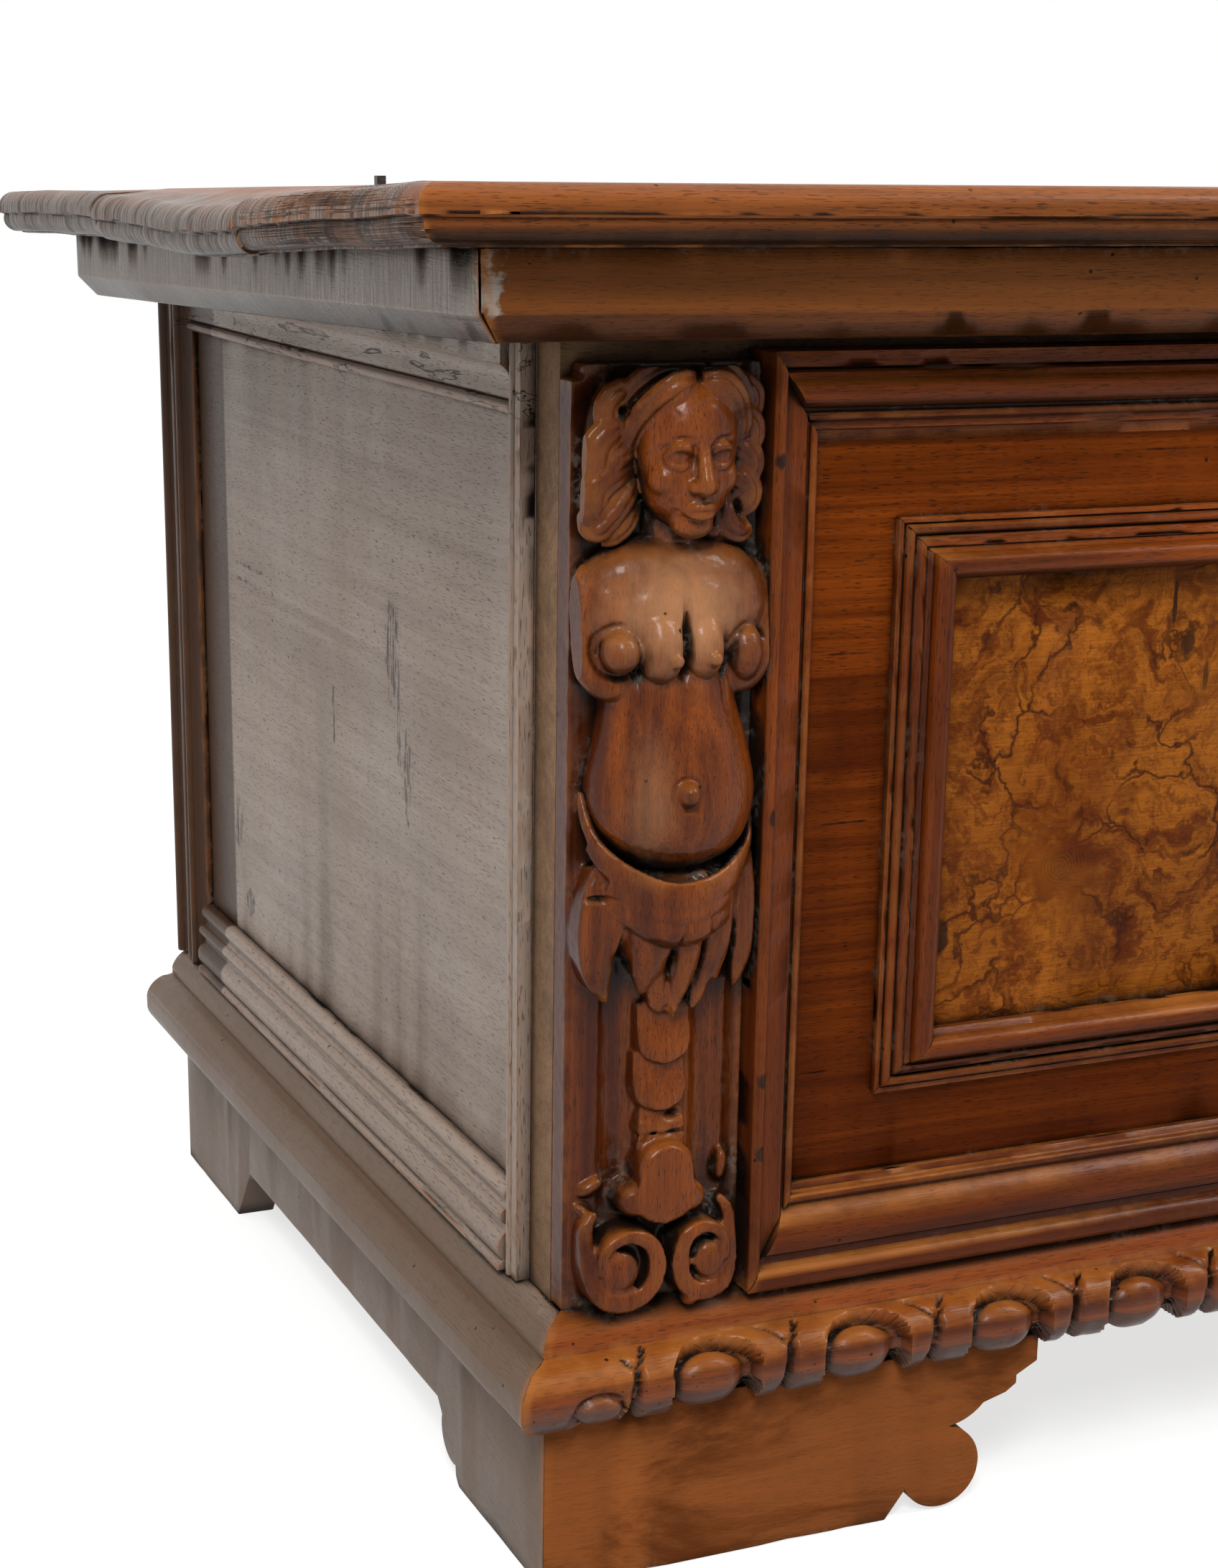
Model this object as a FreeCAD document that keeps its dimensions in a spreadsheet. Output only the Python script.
"""Walnut cassone: a low storage chest with a hinged lid and a carved, framed front.

Millimetres. The floor is at height zero, X runs along the chest, the front faces minus Y,
and the origin is under the middle of the whole outline.
"""
import FreeCAD
import Part
import Sketcher
import math
import os

document = FreeCAD.newDocument("cassone")
sheet = document.addObject("Spreadsheet::Sheet", "sizes")

# Driving dimensions, in millimetres and degrees
DRIVING = [
    ("carcass_length", 1560.0, "outer faces of the two end boards"),
    ("carcass_depth", 550.0, "ground of the front to the face of the back board"),
    ("base_height", 118.0, "floor to the top of the base moulding"),
    ("back_rim", 398.0, "top of the base moulding to the rim at the back"),
    ("front_board", 22.0, "thickness of the front board"),
    ("back_board", 22.0, "thickness of the back board"),
    ("end_board", 25.0, "thickness of an end board"),
    ("bottom_board", 20.0, "thickness of the bottom board"),
    ("bottom_rise", 10.0, "underside of the bottom board above the carcass edge"),
    ("facing", 12.0, "thickness of the field board and the pilaster ground"),
    ("clearance", 0.3, "gap at every moving or inserted fit"),
    ("overrun", 6.0, "how far a cutter runs past what it cuts"),
    ("lid_thickness", 21.0, "thickness of a lid plank"),
    ("lid_front_reach", 77.0, "lid edge in front of the carcass"),
    ("lid_side_reach", 86.0, "lid edge beyond an end board"),
    ("lid_rear_reach", 25.0, "lid edge behind the back board"),
    ("lid_edge", 16.0, "width of the moulding worked on the lid edge"),
    ("lid_tilt", 1.6, "fall of the old lid to the back, in degrees"),
    ("front_plank", 215.0, "width of the front plank"),
    ("middle_plank", 230.0, "width of the middle plank"),
    ("frieze_front_reach", 50.0, "frieze face in front of the carcass"),
    ("frieze_side_reach", 55.0, "cleat face beyond an end board"),
    ("frieze_height", 32.0, "height of the frieze and cleats"),
    ("frieze_thickness", 43.0, "thickness of the frieze and cleats"),
    ("frieze_chamfer", 10.0, "chamfer under the frieze and cleats"),
    ("cleat_setback", 16.0, "cleat end in front of the back face"),
    ("pilaster_width", 77.0, "width of a carved pilaster"),
    ("pilaster_gap", 26.0, "top of a pilaster below the back rim"),
    ("figure_relief", 40.0, "carved figure in front of its ground"),
    ("field_gap", 22.0, "top of the field board below the back rim"),
    ("frame_side", 22.7, "width of the upright frame mouldings"),
    ("frame_top", 34.3, "width of the top frame moulding"),
    ("frame_bottom", 41.5, "width of the bottom frame moulding"),
    ("frame_relief", 14.0, "frame mouldings in front of the field"),
    ("panel_side_margin", 37.3, "field between the upright frame and a panel moulding"),
    ("panel_low_margin", 34.5, "field between the bottom frame and a panel moulding"),
    ("panel_top_margin", 29.7, "field between the top frame and a panel moulding"),
    ("central_reserve", 260.0, "field between the two panels"),
    ("panel_moulding", 25.0, "width of a panel moulding"),
    ("panel_relief", 13.0, "panel moulding in front of the field"),
    ("panel_sinking", 5.0, "depth of the sinking that holds a burl panel"),
    ("burl_thickness", 3.0, "thickness of a burl panel"),
    ("burl_lap", 6.0, "burl panel under its moulding"),
    ("side_relief", 10.0, "side mouldings proud of an end board"),
    ("side_front_width", 12.0, "width of the front side moulding"),
    ("side_rear_width", 47.0, "width of the rear side moulding"),
    ("side_top_height", 40.0, "height of the top side moulding"),
    ("side_top_gap", 8.0, "top side moulding below the back rim"),
    ("side_bottom_height", 38.0, "height of the bottom side moulding"),
    ("moulding_height", 42.0, "height of the base moulding"),
    ("moulding_reach", 28.0, "base moulding beyond the carcass"),
    ("foot_reach", 12.0, "feet beyond the carcass"),
    ("foot_thickness", 20.0, "thickness of a foot or rail board"),
    ("front_foot", 232.0, "length of a front bracket foot"),
    ("rail_lift", 32.0, "underside of the side rail above the floor"),
    ("side_front_foot", 97.0, "front foot of the side rail on the floor"),
    ("side_front_curve", 27.0, "length of the curve from that foot to the rail"),
    ("side_rear_foot", 98.0, "rear foot of the side rail on the floor"),
    ("side_rear_slope", 24.0, "length of the slope from that foot to the rail"),
    ("rail_setback", 25.0, "rail end in front of the back face"),
    ("rear_return", 92.0, "length of a rear return foot"),
    ("glue_block", 40.0, "side of a glue block"),
    ("block_lift", 6.0, "glue block above the floor"),
    ("hinge_inset", 122.0, "hinge centre from the end board"),
    ("hinge_setback", 10.0, "hinge axis behind the back board"),
    ("hinge_wire", 6.0, "diameter of the hinge iron"),
    ("hinge_tail", 22.0, "length of a clinched hinge tail"),
    ("tail_thickness", 3.0, "thickness of a clinched hinge tail"),
    ("tail_stub", 9.0, "height of the tail end that stands up"),
    ("key_drop", 42.0, "keyhole below the top frame moulding"),
    ("key_radius", 5.0, "radius of the keyhole"),
    ("plate_width", 46.0, "width of the escutcheon"),
    ("plate_height", 74.0, "height of the escutcheon"),
    ("plate_thickness", 1.6, "thickness of the escutcheon"),
    ("case_width", 130.0, "width of the lock case"),
    ("case_height", 140.0, "height of the lock case"),
    ("case_depth", 26.0, "depth of the lock case"),
    ("case_wall", 2.0, "wall of the lock case"),
    ("case_gap", 4.0, "top of the lock case below the front rim"),
    ("staple_thickness", 5.0, "thickness of the lid staple"),
    ("staple_width", 18.0, "width of the lid staple"),
    ("staple_drop", 26.0, "staple under the lid"),
    ("staple_eye", 12.0, "opening in the staple"),
    ("bolt_section", 8.0, "side of the lock bolt"),
    ("bolt_length", 46.0, "length of the lock bolt"),
    ("bolt_rest", 7.0, "drawn bolt from the middle of the staple"),
]


class Size:
    """A length or angle with its number and the sheet expression that it comes from."""

    def __init__(self, number, words):
        self.number = number
        self.words = words

    def __add__(self, other):
        return Size(self.number + number_of(other), f"({self.words} + {words_of(other)})")

    def __radd__(self, other):
        return self + other

    def __sub__(self, other):
        return Size(self.number - number_of(other), f"({self.words} - {words_of(other)})")

    def __rsub__(self, other):
        return Size(number_of(other) - self.number, f"({words_of(other)} - {self.words})")

    def __mul__(self, other):
        return Size(self.number * number_of(other), f"({self.words} * {words_of(other)})")

    def __rmul__(self, other):
        return self * other

    def __truediv__(self, other):
        return Size(self.number / number_of(other), f"({self.words} / {words_of(other)})")

    def __neg__(self):
        return Size(-self.number, f"(-{self.words})")


def number_of(thing):
    return thing.number if isinstance(thing, Size) else float(thing)


def words_of(thing):
    return thing.words if isinstance(thing, Size) else repr(thing)


def tangent(angle):
    return Size(math.tan(math.radians(angle.number)), f"tan({angle.words})")


def cosine(angle):
    return Size(math.cos(math.radians(angle.number)), f"cos({angle.words})")


def sine(angle):
    return Size(math.sin(math.radians(angle.number)), f"sin({angle.words})")


size = {}
for row, (alias, number, meaning) in enumerate(DRIVING, start=1):
    sheet.set(f"A{row}", meaning)
    sheet.set(f"B{row}", str(number))
    sheet.setAlias(f"B{row}", alias)
    size[alias] = Size(number, f"sizes.{alias}")
document.recompute()

# Each plane: the axis of its start, and the turn that lays a sketch in it
PLANES = {
    "front": ("y", FreeCAD.Rotation(FreeCAD.Vector(1, 0, 0), 90)),
    "side": ("x", FreeCAD.Rotation(FreeCAD.Vector(1, 1, 1), 120)),
    "plan": ("z", FreeCAD.Rotation()),
}
finished = []


def bind(thing, name, value):
    """Tie a property to the sheet; a plain zero needs no tie."""
    if isinstance(value, Size):
        thing.setExpression(name, value.words)


def place(thing, x, y, z):
    for axis, value in (("x", x), ("y", y), ("z", z)):
        bind(thing, "Placement.Base." + axis, value)
    return thing


def keep(thing, label=None):
    """Count an object as a sub-part of the chest."""
    thing.Label = label or thing.Name
    finished.append(thing)
    return thing


def block(name, x, y, z):
    """A box between pairs of low and high places."""
    box = document.addObject("Part::Box", name)
    place(box, x[0], y[0], z[0])
    bind(box, "Length", x[1] - x[0])
    bind(box, "Width", y[1] - y[0])
    bind(box, "Height", z[1] - z[0])
    return box


def ball(name, x, y, z, radius):
    sphere = document.addObject("Part::Sphere", name)
    bind(sphere, "Radius", radius)
    return place(sphere, x, y, z)


def rod(name, x, y, z, radius, length, plane):
    """A cylinder that leaves the point along the normal of a plane."""
    cylinder = document.addObject("Part::Cylinder", name)
    cylinder.Placement.Rotation = PLANES[plane][1]
    bind(cylinder, "Radius", radius)
    bind(cylinder, "Height", length)
    return place(cylinder, x, y, z)


def ring(name, x, y, z, radius, wire_radius, plane):
    torus = document.addObject("Part::Torus", name)
    torus.Placement.Rotation = PLANES[plane][1]
    bind(torus, "Radius1", radius)
    bind(torus, "Radius2", wire_radius)
    return place(torus, x, y, z)


def sketch(name, plane, start, steps):
    """A closed outline. A step ends a line, or an arc when it also gives a point on the way."""
    drawing = document.addObject("Sketcher::SketchObject", name)
    axis, turn = PLANES[plane]
    drawing.Placement.Rotation = turn
    bind(drawing, "Placement.Base." + axis, start)
    edges = []
    marks = []
    rules = []
    ties = []
    ends = []
    count = len(steps)
    arcs = [index for index in range(count) if len(steps[index]) == 4]
    for index in range(count):
        step = steps[index]
        first = FreeCAD.Vector(number_of(steps[index - 1][0]), number_of(steps[index - 1][1]), 0)
        last = FreeCAD.Vector(number_of(step[0]), number_of(step[1]), 0)
        if len(step) == 2:
            edges.append(Part.LineSegment(first, last))
            ends.append((1, 2))
            continue
        middle = FreeCAD.Vector(number_of(step[2]), number_of(step[3]), 0)
        edges.append(Part.Arc(first, middle, last))
        turning = (middle - first).cross(last - first).z
        ends.append((1, 2) if turning > 0 else (2, 1))
        marks.append(Part.Point(middle))
    drawing.addGeometry(edges, False)
    if marks:
        drawing.addGeometry(marks, True)

    def fix(edge, end, across, up):
        for kind, value in (("DistanceX", across), ("DistanceY", up)):
            ties.append((len(rules), value))
            rules.append(Sketcher.Constraint(kind, -1, 1, edge, end, number_of(value)))

    for index in range(count):
        after = (index + 1) % count
        rules.append(Sketcher.Constraint("Coincident", index, ends[index][1], after, ends[after][0]))
    for index in range(count):
        fix(index, ends[index][1], steps[index][0], steps[index][1])
    for mark, index in enumerate(arcs):
        fix(count + mark, 1, steps[index][2], steps[index][3])
        rules.append(Sketcher.Constraint("PointOnObject", count + mark, 1, index))
    drawing.addConstraint(rules)
    for rule, value in ties:
        bind(drawing, f"Constraints[{rule}]", value)
    return drawing


def prism(name, plane, start, length, steps):
    solid = document.addObject("Part::Extrusion", name)
    solid.Base = sketch(name + "_outline", plane, start, steps)
    solid.DirMode = "Normal"
    solid.Solid = True
    bind(solid, "LengthFwd", length)
    return solid


def common(name, first, second):
    result = document.addObject("Part::Common", name)
    result.Base = first
    result.Tool = second
    return result


def cut(name, base, tool):
    result = document.addObject("Part::Cut", name)
    result.Base = base
    result.Tool = tool
    return result


def fuse(name, pieces):
    result = document.addObject("Part::MultiFuse", name)
    result.Shapes = pieces
    return result


def mirror(name, source):
    """The right-hand twin of a left-hand piece."""
    result = document.addObject("Part::Mirroring", name)
    result.Source = source
    result.Base = FreeCAD.Vector(0, 0, 0)
    result.Normal = FreeCAD.Vector(1, 0, 0)
    return result


def spread(shares, across, up):
    """Turn a table of shares into steps. Across and up are pairs of a start and a span."""
    steps = []
    for entry in shares:
        step = []
        for position in range(0, len(entry), 2):
            step.append(across[0] + across[1] * entry[position])
            step.append(up[0] + up[1] * entry[position + 1])
        steps.append(tuple(step))
    return steps


def flip(steps):
    """Swap the two directions of an outline."""
    flipped = []
    for step in steps:
        turned = (step[1], step[0]) if len(step) == 2 else (step[1], step[0], step[3], step[2])
        flipped.append(turned)
    return flipped


# Places that several pieces share
clearance = size["clearance"]
overrun = size["overrun"]
tilt = size["lid_tilt"]
half = size["carcass_length"] / 2
back_reach = size["hinge_setback"] + size["carcass_depth"]
lid_front = -(back_reach + size["lid_front_reach"])
lid_rear = size["lid_rear_reach"] - size["hinge_setback"]
wire = size["hinge_wire"] / 2
loop = size["hinge_wire"] + clearance
lid_under = loop * 2 + wire + clearance
lid_top = lid_under + size["lid_thickness"]
outline_front = lid_front * cosine(tilt) + (lid_under + size["lid_thickness"] / 2) * sine(tilt)
outline_rear = lid_rear * cosine(tilt) + lid_top * sine(tilt)
axis_y = -(outline_front + outline_rear) / 2
front_y = axis_y - back_reach
back_y = front_y + size["carcass_depth"]
board_face = front_y + size["facing"]
board_inner = board_face + size["front_board"]
back_inner = back_y - size["back_board"]
base_top = size["base_height"]
carcass_low = base_top - size["moulding_height"]
rim = base_top + size["back_rim"]
axis_z = rim + clearance - lid_under / cosine(tilt) - size["hinge_setback"] * tangent(tilt)
field_half = half - size["pilaster_width"]
field_top = rim - size["field_gap"]
frame_x = field_half - size["frame_side"]
frame_low = base_top + size["frame_bottom"]
frame_high = field_top - size["frame_top"]


def rim_under_lid(y):
    """Height just under the tilted lid at a place along the depth."""
    return axis_z + lid_under / cosine(tilt) + (axis_y - y) * tangent(tilt) - clearance


front_rim = rim_under_lid(board_inner)

# Carcass boards
key_z = frame_high - size["key_drop"]
front_blank = block("front_board_blank", (-half, half), (board_face, board_inner), (carcass_low, front_rim))
key_bore = rod("key_bore", 0, board_inner + overrun, key_z, size["key_radius"],
               size["front_board"] + size["facing"] + overrun * 2, "front")
keep(cut("front_board", front_blank, key_bore))

tail_hole = size["hinge_wire"] + clearance * 2
hinge_x = half - size["hinge_inset"]
back_blank = block("back_board_blank", (-half, half), (back_inner, back_y), (carcass_low, rim))
back_holes = []
for side, middle in (("left", -hinge_x), ("right", hinge_x)):
    back_holes.append(block(f"back_hole_{side}", (middle - tail_hole / 2, middle + tail_hole / 2),
                            (back_inner - overrun, back_y + overrun),
                            (axis_z - tail_hole / 2, axis_z + tail_hole / 2)))
keep(cut("back_board", back_blank, fuse("back_holes", back_holes)))

end_steps = [
    (board_inner, carcass_low),
    (back_inner, carcass_low),
    (back_inner, rim_under_lid(back_inner)),
    (board_inner, front_rim),
]
end_left = keep(prism("end_board_left", "side", -half, size["end_board"], end_steps))
keep(mirror("end_board_right", end_left))
inner_half = half - size["end_board"]
floor_low = carcass_low + size["bottom_rise"]
keep(block("bottom_board", (-inner_half, inner_half), (board_inner, back_inner),
           (floor_low, floor_low + size["bottom_board"])))

# Field board with the two sinkings and the keyhole
outer_left = size["panel_side_margin"] - frame_x
outer_right = -size["central_reserve"] / 2
outer_low = frame_low + size["panel_low_margin"]
outer_high = frame_high - size["panel_top_margin"]
burl_edge = size["panel_moulding"] - size["burl_lap"]
burl_x = (outer_left + burl_edge, outer_right - burl_edge)
burl_z = (outer_low + burl_edge, outer_high - burl_edge)
field_blank = block("field_blank", (-field_half, field_half), (front_y, board_face), (base_top, field_top))
sinking = block("sinking_left", burl_x, (front_y - overrun, front_y + size["panel_sinking"]), burl_z)
field_cutters = fuse("field_cutters", [sinking, mirror("sinking_right", sinking), key_bore])
keep(cut("field_board", field_blank, field_cutters))
burl_face = front_y + size["panel_sinking"] - size["burl_thickness"]
burl_left = keep(block("burl_panel_left", burl_x, (burl_face, front_y + size["panel_sinking"]), burl_z))
keep(mirror("burl_panel_right", burl_left))

# Moulding profiles: (relief share, width share), with a point on the way where an edge is an arc
FRAME_SIDE_SHARES = [
    (0, 0), (0.70, 0), (0.70, 0.25, 1.0, 0.13), (0.62, 0.29), (0.62, 0.70), (0.48, 0.76),
    (0.48, 0.80), (0.48, 0.90, 0.66, 0.85), (0.36, 0.94), (0.36, 1.0), (0, 1.0),
]
FRAME_TOP_SHARES = [
    (0, 1.0), (0.62, 1.0), (0.62, 0.83), (0.50, 0.81), (0.86, 0.78), (0.86, 0.71),
    (0.55, 0.40, 1.0, 0.50), (0.48, 0.38), (0.48, 0.34), (0.48, 0.26, 0.66, 0.30), (0.36, 0.22),
    (0.36, 0.15), (0.20, 0.12), (0.20, 0), (0, 0),
]
FRAME_BOTTOM_SHARES = [
    (0, 0), (0.95, 0), (0.80, 0.22, 1.05, 0.11), (0.66, 0.25), (0.66, 0.32), (0.84, 0.36),
    (0.46, 0.75, 0.78, 0.62), (0.36, 0.80), (0.36, 0.82), (0.36, 0.91, 0.54, 0.865), (0.24, 0.93),
    (0.24, 1.0), (0, 1.0),
]
PANEL_SHARES = [
    (0, 0), (0.28, 0), (0.28, 0.08), (0.20, 0.10), (0.20, 0.13), (0.20, 0.25, 0.46, 0.19),
    (0.30, 0.29), (0.50, 0.34), (0.50, 0.44), (0.42, 0.47), (0.56, 0.55), (0.44, 0.90, 1.0, 0.74),
    (0.30, 1.0), (0, 1.0),
]
SIDE_POST_SHARES = [
    (0, 0), (0.60, 0), (0.60, 0.16, 0.95, 0.08), (0.50, 0.20), (0.50, 0.36), (0.78, 0.40),
    (0.78, 0.50), (0.50, 0.54), (0.50, 0.66), (0.70, 0.70), (0.70, 0.82, 1.0, 0.76), (0.40, 0.88),
    (0.30, 1.0), (0, 1.0),
]
SIDE_STRIP_SHARES = [
    (0, 0), (0.60, 0), (0.60, 0.45), (0.42, 0.52), (0.42, 0.90, 0.70, 0.71), (0.30, 1.0), (0, 1.0),
]
SIDE_TOP_SHARES = [
    (0, 0), (0.35, 0), (0.35, 0.12, 0.62, 0.06), (0.45, 0.15), (0.45, 0.22), (0.80, 0.45, 0.52, 0.36),
    (0.94, 0.47), (0.94, 1.0), (0, 1.0),
]
SIDE_BOTTOM_SHARES = [
    (0, 0), (0.95, 0), (0.95, 0.08), (0.70, 0.12), (0.72, 0.42, 0.98, 0.27), (0.58, 0.46),
    (0.58, 0.54), (0.58, 0.72, 0.86, 0.63), (0.46, 0.76), (0.46, 0.80), (0.28, 1.0, 0.66, 0.92), (0, 1.0),
]
BASE_SHARES = [
    (0, 1.0), (0.46, 0.70, 0.30, 0.90), (0.46, 0.665), (0.56, 0.65), (0.77, 0, 1.0, 0.38),
]
LID_EDGE_SHARES = [
    (0.70, 0), (0.70, 0.06), (0.18, 0.46, 0.25, 0.16), (0, 0.50), (0, 0.58), (0.60, 1.0, 0.16, 0.88),
]


def frame_piece(name, run_plane, run_start, run_length, profile, face_outline, relief):
    """A mitred strip: its profile along the run, trimmed to its outline on the face."""
    strip = prism(name + "_strip", run_plane, run_start, run_length, profile)
    trim = prism(name + "_trim", "front", front_y + overrun, relief + overrun * 2, face_outline)
    return common(name, strip, trim)


def frame_profiles(shares, relief, low, width):
    """Profile in a plane square to the face, from a low edge over a signed width."""
    return spread(shares, (front_y, -relief), (low, width))


# Front frame
frame_relief = size["frame_relief"]
top_outline = [
    (-field_half, field_top), (-frame_x, frame_high), (frame_x, frame_high), (field_half, field_top),
]
bottom_outline = [
    (-field_half, base_top), (field_half, base_top), (frame_x, frame_low), (-frame_x, frame_low),
]
left_outline = [
    (-field_half, base_top), (-frame_x, frame_low), (-frame_x, frame_high), (-field_half, field_top),
]
top_profile = frame_profiles(FRAME_TOP_SHARES, frame_relief, frame_high, size["frame_top"])
bottom_profile = frame_profiles(FRAME_BOTTOM_SHARES, frame_relief, base_top, size["frame_bottom"])
side_profile = flip(frame_profiles(FRAME_SIDE_SHARES, frame_relief, -field_half, size["frame_side"]))
keep(frame_piece("frame_moulding_top", "side", -field_half, field_half * 2, top_profile,
                 top_outline, frame_relief))
keep(frame_piece("frame_moulding_bottom", "side", -field_half, field_half * 2, bottom_profile,
                 bottom_outline, frame_relief))
frame_left = keep(frame_piece("frame_moulding_left", "plan", base_top, field_top - base_top, side_profile,
                              left_outline, frame_relief))
keep(mirror("frame_moulding_right", frame_left))

# Panel mouldings of the left panel, and their twins
panel_width = size["panel_moulding"]
panel_length = outer_right - outer_left
panel_height = outer_high - outer_low
inner_left = outer_left + panel_width
inner_right = outer_right - panel_width
inner_low = outer_low + panel_width
inner_high = outer_high - panel_width
panel_relief = size["panel_relief"]
PANEL_SIDES = [
    ("top", "side", outer_left, panel_length, outer_high, -panel_width,
     [(outer_left, outer_high), (inner_left, inner_high),
      (inner_right, inner_high), (outer_right, outer_high)]),
    ("bottom", "side", outer_left, panel_length, outer_low, panel_width,
     [(outer_left, outer_low), (outer_right, outer_low), (inner_right, inner_low), (inner_left, inner_low)]),
    ("outer", "plan", outer_low, panel_height, outer_left, panel_width,
     [(outer_left, outer_low), (inner_left, inner_low), (inner_left, inner_high), (outer_left, outer_high)]),
    ("inner", "plan", outer_low, panel_height, outer_right, -panel_width,
     [(outer_right, outer_low), (outer_right, outer_high),
      (inner_right, inner_high), (inner_right, inner_low)]),
]
for edge, run_plane, run_start, run_length, low, width, outline in PANEL_SIDES:
    profile = frame_profiles(PANEL_SHARES, panel_relief, low, width)
    if run_plane == "plan":
        profile = flip(profile)
    piece = frame_piece(f"panel_moulding_left_{edge}", run_plane, run_start, run_length, profile,
                        outline, panel_relief)
    keep(piece)
    keep(mirror(f"panel_moulding_right_{edge}", piece))

# Side mouldings of the left end, and their twins
side_relief = size["side_relief"]
side_top = rim - size["side_top_gap"]
strip_back = board_inner + size["side_front_width"]
post_front = back_y - size["side_rear_width"]
front_strip = prism("side_moulding_left_front", "plan", base_top, side_top - base_top,
                    spread(SIDE_STRIP_SHARES, (-half, -side_relief),
                           (board_inner, size["side_front_width"])))
rear_post = prism("side_moulding_left_rear", "plan", base_top, side_top - base_top,
                  spread(SIDE_POST_SHARES, (-half, -side_relief), (back_y, -size["side_rear_width"])))
top_strip = prism("side_moulding_left_top", "front", post_front, post_front - strip_back,
                  spread(SIDE_TOP_SHARES, (-half, -side_relief),
                         (side_top - size["side_top_height"], size["side_top_height"])))
bottom_strip = prism("side_moulding_left_bottom", "front", post_front, post_front - strip_back,
                     spread(SIDE_BOTTOM_SHARES, (-half, -side_relief),
                            (base_top, size["side_bottom_height"])))
for piece in (front_strip, rear_post, top_strip, bottom_strip):
    keep(piece)
    keep(mirror(piece.Name.replace("left", "right"), piece))

# Base mouldings, mitred at the front corners
reach = size["moulding_reach"]
base_span = (carcass_low, size["moulding_height"])
front_base_profile = [(board_face, carcass_low), (board_face, base_top)]
front_base_profile += spread(BASE_SHARES, (front_y, -reach), base_span)
front_base = prism("base_front_strip", "side", -(half + reach), (half + reach) * 2, front_base_profile)
base_plan_rise = size["moulding_height"] + overrun * 2
front_base_plan = prism("base_front_plan", "plan", carcass_low - overrun, base_plan_rise, [
    (-(half + reach), front_y - reach), (half + reach, front_y - reach), (half, front_y),
    (half, board_face), (-half, board_face), (-half, front_y),
])
keep(common("base_moulding_front", front_base, front_base_plan))
side_base_profile = [(-half, carcass_low)] + spread(BASE_SHARES, (-half, -reach), base_span)
side_base = prism("base_side_strip", "front", back_y, size["carcass_depth"] + reach, side_base_profile)
side_base_plan = prism("base_side_plan", "plan", carcass_low - overrun, base_plan_rise, [
    (-(half + reach), front_y - reach), (-half, front_y), (-half, back_y), (-(half + reach), back_y),
])
base_left = keep(common("base_moulding_left", side_base, side_base_plan))
keep(mirror("base_moulding_right", base_left))

# Front bracket feet: (length share, height share) of the cut outline
FRONT_FOOT_SHARES = [
    (0, 0), (0.687, 0), (0.728, 0.166), (0.753, 0.463, 0.880, 0.200), (0.828, 0.520),
    (0.888, 0.624, 0.862, 0.560), (0.935, 0.664), (0.957, 0.710), (0.957, 0.760), (1.0, 0.830),
    (1.0, 1.0), (0, 1.0),
]
foot_x = -(half + size["foot_reach"])
foot_y = front_y - size["foot_reach"]
foot_board = size["foot_thickness"]
foot_plan_rise = carcass_low + overrun * 2
foot_face = prism("front_foot_face", "front", foot_y + foot_board, foot_board,
                  spread(FRONT_FOOT_SHARES, (foot_x, size["front_foot"]), (0, carcass_low)))
foot_plan = prism("front_foot_plan", "plan", -overrun, foot_plan_rise, [
    (foot_x, foot_y), (foot_x + size["front_foot"], foot_y),
    (foot_x + size["front_foot"], foot_y + foot_board), (foot_x + foot_board, foot_y + foot_board),
])
foot_left = keep(common("front_foot_left", foot_face, foot_plan))
keep(mirror("front_foot_right", foot_left))

# Side rails, each one board cut into two feet and the rail between them
rail_lift = size["rail_lift"]
rail_end = back_y - size["rail_setback"]
front_flat = foot_y + size["side_front_foot"]
curve = size["side_front_curve"]
rear_flat = rail_end - size["side_rear_foot"]
rail_steps = [
    (foot_y, 0), (front_flat, 0), (front_flat + curve * 0.18, rail_lift * 0.12),
    (front_flat + curve * 0.18, rail_lift * 0.26),
    (front_flat + curve * 0.80, rail_lift * 0.82, front_flat + curve * 0.66, rail_lift * 0.38),
    (front_flat + curve, rail_lift), (rear_flat - size["side_rear_slope"], rail_lift),
    (rear_flat, 0), (rail_end, 0), (rail_end, carcass_low), (foot_y, carcass_low),
]
rail_face = prism("side_rail_face", "side", foot_x, foot_board, rail_steps)
rail_plan = prism("side_rail_plan", "plan", -overrun, foot_plan_rise, [
    (foot_x, foot_y), (foot_x + foot_board, foot_y + foot_board),
    (foot_x + foot_board, rail_end), (foot_x, rail_end),
])
rail_left = keep(common("side_rail_left", rail_face, rail_plan))
keep(mirror("side_rail_right", rail_left))

# Rear return feet: (length share, height share)
REAR_FOOT_SHARES = [(0, 0), (0.62, 0), (1.0, 0.62, 0.72, 0.34), (1.0, 1.0), (0, 1.0)]
rear_foot = keep(prism("rear_foot_left", "front", rail_end, foot_board,
                       spread(REAR_FOOT_SHARES, (foot_x + foot_board, size["rear_return"]),
                              (0, carcass_low))))
keep(mirror("rear_foot_right", rear_foot))

# Glue blocks in the four corners, one node of four solids
block_x = (foot_x + foot_board, foot_x + foot_board + size["glue_block"])
block_z = (size["block_lift"], carcass_low)
front_block = block("glue_block_front", block_x,
                    (foot_y + foot_board, foot_y + foot_board + size["glue_block"]), block_z)
rear_block = block("glue_block_rear", block_x,
                   (rail_end - foot_board - size["glue_block"], rail_end - foot_board), block_z)
blocks = document.addObject("Part::Compound", "glue_blocks")
blocks.Links = [front_block, rear_block, mirror("glue_block_front_twin", front_block),
                mirror("glue_block_rear_twin", rear_block)]
keep(blocks)

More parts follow.
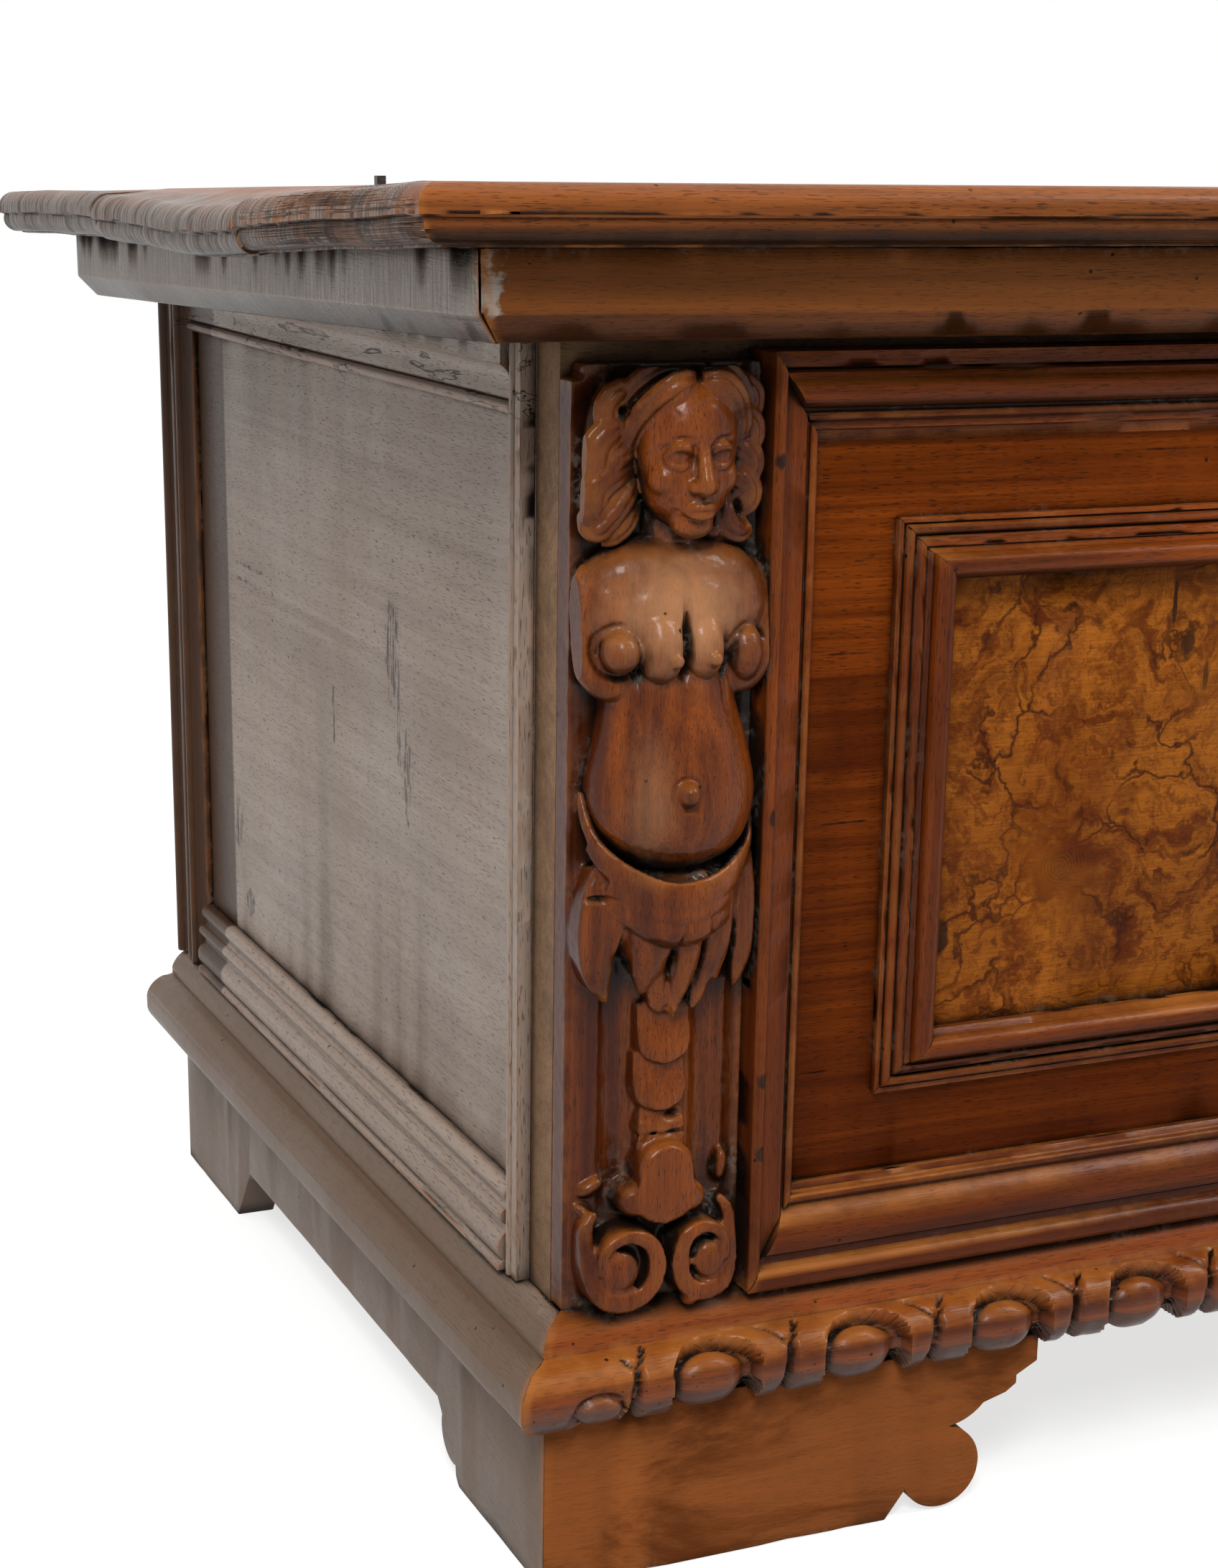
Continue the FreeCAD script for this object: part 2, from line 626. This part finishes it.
# Carved pilaster: ground, flutes and figure. Shares are of its width, its height and its relief,
# and the round forms stand ahead of the ground by shares of the width, as their radii do
pilaster_height = rim - size["pilaster_gap"] - base_top
figure_relief = size["figure_relief"]


def across(share):
    return -half + size["pilaster_width"] * share


def up(share):
    return base_top + pilaster_height * share


def ahead(share):
    return front_y - size["pilaster_width"] * share


GROUND_SHARES = [(0, 0), (1.0, 0), (1.0, 1.0), (0.14, 1.0), (0, 0.962, 0.03, 0.988)]
FLUTE_SHARES = [0.10, 0.26, 0.70, 0.86]
# Balls: across, up and ahead of the ground at the centre, and the radius
BALL_SHARES = [
    ("brow", 0.507, 0.930, 0.234, 0.286), ("jaw", 0.507, 0.880, 0.260, 0.205),
    ("crown", 0.494, 0.928, 0.104, 0.325), ("shoulder_left", 0.195, 0.760, 0.104, 0.190),
    ("shoulder_right", 0.795, 0.760, 0.104, 0.190), ("breast_left", 0.350, 0.722, 0.286, 0.143),
    ("breast_right", 0.600, 0.722, 0.286, 0.143), ("belly", 0.494, 0.578, 0.052, 0.445),
    ("navel", 0.468, 0.584, 0.478, 0.058), ("skirt", 0.507, 0.528, -0.042, 0.430),
    ("curl_left_top", 0.130, 0.942, 0.104, 0.115), ("curl_left_upper", 0.112, 0.904, 0.114, 0.112),
    ("curl_left_lower", 0.112, 0.866, 0.114, 0.112), ("curl_left_low", 0.165, 0.832, 0.104, 0.105),
    ("curl_right_top", 0.860, 0.942, 0.104, 0.110), ("curl_right_upper", 0.888, 0.904, 0.104, 0.108),
    ("curl_right_lower", 0.885, 0.866, 0.104, 0.108), ("curl_right_low", 0.835, 0.832, 0.094, 0.100),
]
# Studs that leave the ground square to it: across, up, reach, and the radius as a share of the width
STUD_SHARES = [
    ("arm_scroll_left", 0.165, 0.720, 0.62, 0.120), ("arm_scroll_right", 0.810, 0.718, 0.62, 0.105),
    ("trefoil_top", 0.490, 0.163, 0.30, 0.155), ("trefoil_left", 0.360, 0.136, 0.28, 0.110),
    ("trefoil_right", 0.625, 0.136, 0.28, 0.110), ("scroll_left", 0.265, 0.062, 0.20, 0.262),
    ("scroll_right", 0.765, 0.060, 0.20, 0.228), ("eye_left", 0.245, 0.060, 0.42, 0.110),
    ("eye_right", 0.785, 0.060, 0.42, 0.100),
]
RING_SHARES = [
    ("rim_left", 0.265, 0.062, 0.125, 0.205, 0.055), ("rim_right", 0.765, 0.060, 0.125, 0.175, 0.050),
]
# Leaves and husks: across, low end, high end, half width and reach
LEAF_SHARES = [
    ("leaf_one", 0.175, 0.348, 0.500, 0.115, 0.30), ("leaf_two", 0.375, 0.352, 0.510, 0.090, 0.36),
    ("leaf_three", 0.490, 0.325, 0.500, 0.085, 0.42), ("leaf_four", 0.700, 0.360, 0.510, 0.095, 0.34),
    ("leaf_five", 0.860, 0.352, 0.500, 0.080, 0.28), ("husk_upper", 0.485, 0.276, 0.380, 0.115, 0.24),
    ("husk_lower", 0.485, 0.212, 0.316, 0.110, 0.20),
]
bed = front_y + size["facing"] / 2
ground = prism("pilaster_ground", "front", board_face, size["facing"],
               spread(GROUND_SHARES, (-half, size["pilaster_width"]), (base_top, pilaster_height)))
flutes = []
for number, share in enumerate(FLUTE_SHARES):
    flutes.append(rod(f"flute_{number}", across(share), front_y, up(0.14),
                      size["pilaster_width"] * 0.035, pilaster_height * 0.22, "plan"))
figure = [cut("pilaster_fluted", ground, fuse("flutes", flutes))]
for name, x, z, y, radius in BALL_SHARES:
    figure.append(ball("carving_" + name, across(x), ahead(y), up(z), size["pilaster_width"] * radius))
for name, x, z, y, radius in STUD_SHARES:
    figure.append(rod("carving_" + name, across(x), bed, up(z), size["pilaster_width"] * radius,
                      figure_relief * y + size["facing"] / 2, "front"))
for name, x, z, y, radius, bead in RING_SHARES:
    figure.append(ring("carving_" + name, across(x), ahead(y), up(z), size["pilaster_width"] * radius,
                       size["pilaster_width"] * bead, "front"))
for name, x, low, high, wide, y in LEAF_SHARES:
    figure.append(prism("carving_" + name, "front", bed, figure_relief * y + size["facing"] / 2, [
        (across(x), up(low), across(x + wide), up((low + high) / 2)),
        (across(x), up(high), across(x - wide), up((low + high) / 2)),
    ]))
figure.append(rod("carving_neck", across(0.480), ahead(0.182), up(0.78), size["pilaster_width"] * 0.130,
                  pilaster_height * 0.10, "plan"))
figure.append(rod("carving_chest", across(0.195), ahead(0.104), up(0.760), size["pilaster_width"] * 0.225,
                  size["pilaster_width"] * 0.60, "side"))
figure.append(rod("carving_waist", across(0.500), ahead(0.026), up(0.62), size["pilaster_width"] * 0.230,
                  pilaster_height * 0.13, "plan"))
carving = fuse("pilaster_carving", figure)
carving_limits = block("carving_limits", (-half, -field_half), (front_y - figure_relief * 1.2, board_face),
                       (base_top, up(1.0)))
pilaster_left = keep(common("caryatid_pilaster_left", carving, carving_limits))
keep(mirror("caryatid_pilaster_right", pilaster_left))


def on_lid(thing):
    """Set a piece drawn about the hinge axis at its place, with the fall of the lid."""
    thing.Placement.Rotation = FreeCAD.Rotation(FreeCAD.Vector(-1, 0, 0), tilt.number)
    bind(thing, "Placement.Rotation.Angle", tilt)
    bind(thing, "Placement.Base.y", axis_y)
    bind(thing, "Placement.Base.z", axis_z)
    return thing


# Lid slab with its worked edge, drawn about the hinge axis, then sawn into planks
lid_half = half + size["lid_side_reach"]
lid_edge = size["lid_edge"]
lid_span = (lid_under, size["lid_thickness"])
front_edge = spread(LID_EDGE_SHARES, (lid_front, lid_edge), lid_span)
left_edge = spread(LID_EDGE_SHARES, (-lid_half, lid_edge), lid_span)
mitre_x = -lid_half + lid_edge
mitre_y = lid_front + lid_edge
slab_run = prism("lid_slab_run", "side", -lid_half, lid_half * 2,
                 front_edge + [(lid_rear + overrun, lid_top), (lid_rear + overrun, lid_under)])
slab_plan = prism("lid_slab_plan", "plan", lid_under - overrun, size["lid_thickness"] + overrun * 2, [
    (-lid_half, lid_front), (lid_half, lid_front), (-mitre_x, mitre_y), (-mitre_x, lid_rear),
    (mitre_x, lid_rear), (mitre_x, mitre_y),
])
edge_run = prism("lid_edge_run", "front", lid_rear + overrun, lid_rear - lid_front + overrun * 2,
                 left_edge + [(mitre_x + overrun, lid_top), (mitre_x + overrun, lid_under)])
edge_plan = prism("lid_edge_plan", "plan", lid_under - overrun, size["lid_thickness"] + overrun * 2, [
    (-lid_half, lid_front), (mitre_x, mitre_y), (mitre_x, lid_rear), (-lid_half, lid_rear),
])
slab_middle = common("lid_slab_middle", slab_run, slab_plan)
slab_left = common("lid_slab_left", edge_run, edge_plan)
slab = fuse("lid_slab", [slab_middle, slab_left, mirror("lid_slab_right", slab_left)])
slab.Refine = True
hinge_holes = []
for side, middle in (("left", -hinge_x), ("right", hinge_x)):
    hinge_holes.append(block(f"lid_hole_{side}", (middle - tail_hole / 2, middle + tail_hole / 2),
                             (-tail_hole / 2, tail_hole / 2), (lid_under - overrun, lid_top + overrun)))
slab_bored = cut("lid_slab_bored", slab, fuse("lid_holes", hinge_holes))
first_joint = lid_front + size["front_plank"]
second_joint = first_joint + size["middle_plank"]
PLANKS = [
    ("lid_plank_front", lid_front - overrun, first_joint),
    ("lid_plank_middle", first_joint, second_joint),
    ("lid_plank_rear", second_joint, lid_rear + overrun),
]
for name, near, far in PLANKS:
    saw = block(name + "_saw", (-(lid_half + overrun), lid_half + overrun), (near, far),
                (lid_under - overrun, lid_top + overrun))
    keep(on_lid(common(name, slab_bored, saw)))

# Frieze and cleats under the lid
frieze_low = lid_under - size["frieze_height"]
chamfer = size["frieze_chamfer"]
frieze_y = -(back_reach + size["frieze_front_reach"])
frieze_x = -(half + size["frieze_side_reach"])
thick = size["frieze_thickness"]
frieze_strip = prism("frieze_strip", "side", frieze_x, -frieze_x * 2, [
    (frieze_y, lid_under), (frieze_y, frieze_low + chamfer), (frieze_y + chamfer, frieze_low),
    (frieze_y + thick, frieze_low), (frieze_y + thick, lid_under),
])
frieze_plan = prism("frieze_plan", "plan", frieze_low - overrun, size["frieze_height"] + overrun * 2, [
    (frieze_x, frieze_y), (-frieze_x, frieze_y), (-frieze_x - thick, frieze_y + thick),
    (frieze_x + thick, frieze_y + thick),
])
keep(on_lid(common("lid_frieze_front", frieze_strip, frieze_plan)))
cleat_end = -(size["hinge_setback"] + size["cleat_setback"])
cleat_strip = prism("cleat_strip", "front", cleat_end, cleat_end - frieze_y, [
    (frieze_x, lid_under), (frieze_x, frieze_low + chamfer), (frieze_x + chamfer, frieze_low),
    (frieze_x + thick, frieze_low), (frieze_x + thick, lid_under),
])
cleat_plan = prism("cleat_plan", "plan", frieze_low - overrun, size["frieze_height"] + overrun * 2, [
    (frieze_x, frieze_y), (frieze_x + thick, frieze_y + thick), (frieze_x + thick, cleat_end),
    (frieze_x, cleat_end),
])
cleat_left = keep(on_lid(common("lid_cleat_left", cleat_strip, cleat_plan)))
keep(mirror("lid_cleat_right", cleat_left))

# Snipe hinges: a loop on the lid linked through a loop in the back board
shank = wire * 0.85
tail = size["hinge_tail"]
tail_thickness = size["tail_thickness"]
hinge_left = -hinge_x
lid_loop = fuse("hinge_lid_loop_left", [
    ring("lid_loop_ring", hinge_left, 0, loop, loop, wire, "front"),
    block("lid_loop_shank", (hinge_left - shank, hinge_left + shank), (-shank, shank),
          (loop * 2, lid_top + size["tail_stub"])),
    block("lid_loop_tails", (hinge_left - tail, hinge_left + tail), (-wire, wire),
          (lid_top, lid_top + tail_thickness)),
])
keep(on_lid(lid_loop))
keep(mirror("hinge_lid_loop_right", lid_loop))
board_iron = fuse("board_loop_iron", [
    ring("board_loop_ring", hinge_left, axis_y, axis_z, loop, wire, "side"),
    block("board_loop_shank", (hinge_left - shank, hinge_left + shank),
          (back_inner - tail_thickness, axis_y - loop), (axis_z - shank, axis_z + shank)),
    block("board_loop_tails", (hinge_left - wire, hinge_left + wire),
          (back_inner - tail_thickness, back_inner), (axis_z - tail, axis_z + wire)),
])
worn_bore = rod("board_loop_bore", hinge_left - wire * 2, axis_y, axis_z, wire + clearance * 1.5,
                wire * 4, "side")
board_loop = cut("hinge_carcass_loop_left", board_iron, worn_bore)
keep(board_loop)
keep(mirror("hinge_carcass_loop_right", board_loop))

# Lock: escutcheon, case, bolt and lid staple
PLATE_SHARES = [
    (-0.36, 0.40, -0.40, 0.14), (-0.36, 0.62, -0.24, 0.51), (-0.18, 0.84, -0.50, 0.80),
    (0, 1.0, -0.14, 0.96), (0.18, 0.84, 0.14, 0.96), (0.36, 0.62, 0.50, 0.80),
    (0.36, 0.40, 0.24, 0.51), (0, 0, 0.40, 0.14),
]
plate_low = key_z - size["plate_height"] * 0.55
plate_blank = prism("escutcheon_blank", "front", front_y, size["plate_thickness"],
                    spread(PLATE_SHARES, (0, size["plate_width"]), (plate_low, size["plate_height"])))
key_slot = block("key_slot", (size["key_radius"] * -0.45, size["key_radius"] * 0.45),
                 (front_y - size["plate_thickness"] - overrun, front_y + overrun),
                 (key_z - size["key_radius"] * 3, key_z))
keep(cut("escutcheon", plate_blank, fuse("keyhole", [key_bore, key_slot])))
case_top = front_rim - size["case_gap"]
case_low = case_top - size["case_height"]
case_half = size["case_width"] / 2
case_back = board_inner + size["case_depth"]
wall = size["case_wall"]
staple_y = board_inner + (size["case_depth"] - wall) / 2
staple_local = -(axis_y - staple_y)
eye_low = lid_under - size["staple_drop"] + (size["staple_width"] - size["staple_eye"]) / 2
bolt_z = axis_z + (eye_low + size["staple_eye"] / 2) - staple_local * tangent(tilt)
bolt_half = size["bolt_section"] / 2
bolt_end = -(size["bolt_rest"] + size["bolt_length"])
case_outer = block("lock_case_outer", (-case_half, case_half), (board_inner, case_back), (case_low, case_top))
case_hollow = block("lock_case_hollow", (-(case_half - wall), case_half - wall),
                    (board_inner - overrun, case_back - wall), (case_low + wall, case_top - wall))
case_mouth = block("lock_case_mouth", (-size["staple_thickness"], size["staple_thickness"]),
                   (board_inner - overrun, case_back - wall), (case_top - wall - overrun, case_top + overrun))
shelf = block("lock_case_shelf", (bolt_end, -size["bolt_rest"]), (board_inner, case_back - wall),
              (bolt_z - bolt_half - clearance - wall, bolt_z - bolt_half - clearance))
case_shell = cut("lock_case_shell", case_outer, fuse("lock_case_space", [case_hollow, case_mouth]))
keep(fuse("lock_case", [case_shell, shelf]))
keep(block("lock_bolt", (bolt_end, -size["bolt_rest"]), (staple_y - bolt_half, staple_y + bolt_half),
           (bolt_z - bolt_half, bolt_z + bolt_half)))
staple_half = size["staple_thickness"] / 2
staple_wide = size["staple_width"] / 2
eye_half = size["staple_eye"] / 2
staple_blank = block("staple_blank", (-staple_half, staple_half),
                     (staple_local - staple_wide, staple_local + staple_wide),
                     (lid_under - size["staple_drop"], lid_under))
staple_hole = block("staple_hole", (-(staple_half + overrun), staple_half + overrun),
                    (staple_local - eye_half, staple_local + eye_half),
                    (eye_low, eye_low + size["staple_eye"]))
keep(on_lid(cut("lid_staple", staple_blank, staple_hole)))

document.recompute()

# Every object has to be sound before anything is written
faults = []
for thing in document.Objects:
    if "Invalid" in thing.State or "Error" in thing.State:
        faults.append(f"{thing.Name}: {thing.State}")
for thing in finished:
    if thing.Shape.isNull() or not thing.Shape.isValid():
        faults.append(f"{thing.Label}: no valid shape")
if faults:
    raise RuntimeError("; ".join(faults))

os.makedirs("parts", exist_ok=True)
for thing in finished:
    thing.Shape.exportStep(f"parts/{thing.Label}.step")
    corners = thing.Shape.BoundBox
    print(f"{thing.Label}: {len(thing.Shape.Solids)} solid, {thing.Shape.Volume:.0f} mm3, "
          f"x {corners.XMin:.1f} {corners.XMax:.1f} y {corners.YMin:.1f} {corners.YMax:.1f} "
          f"z {corners.ZMin:.1f} {corners.ZMax:.1f}")
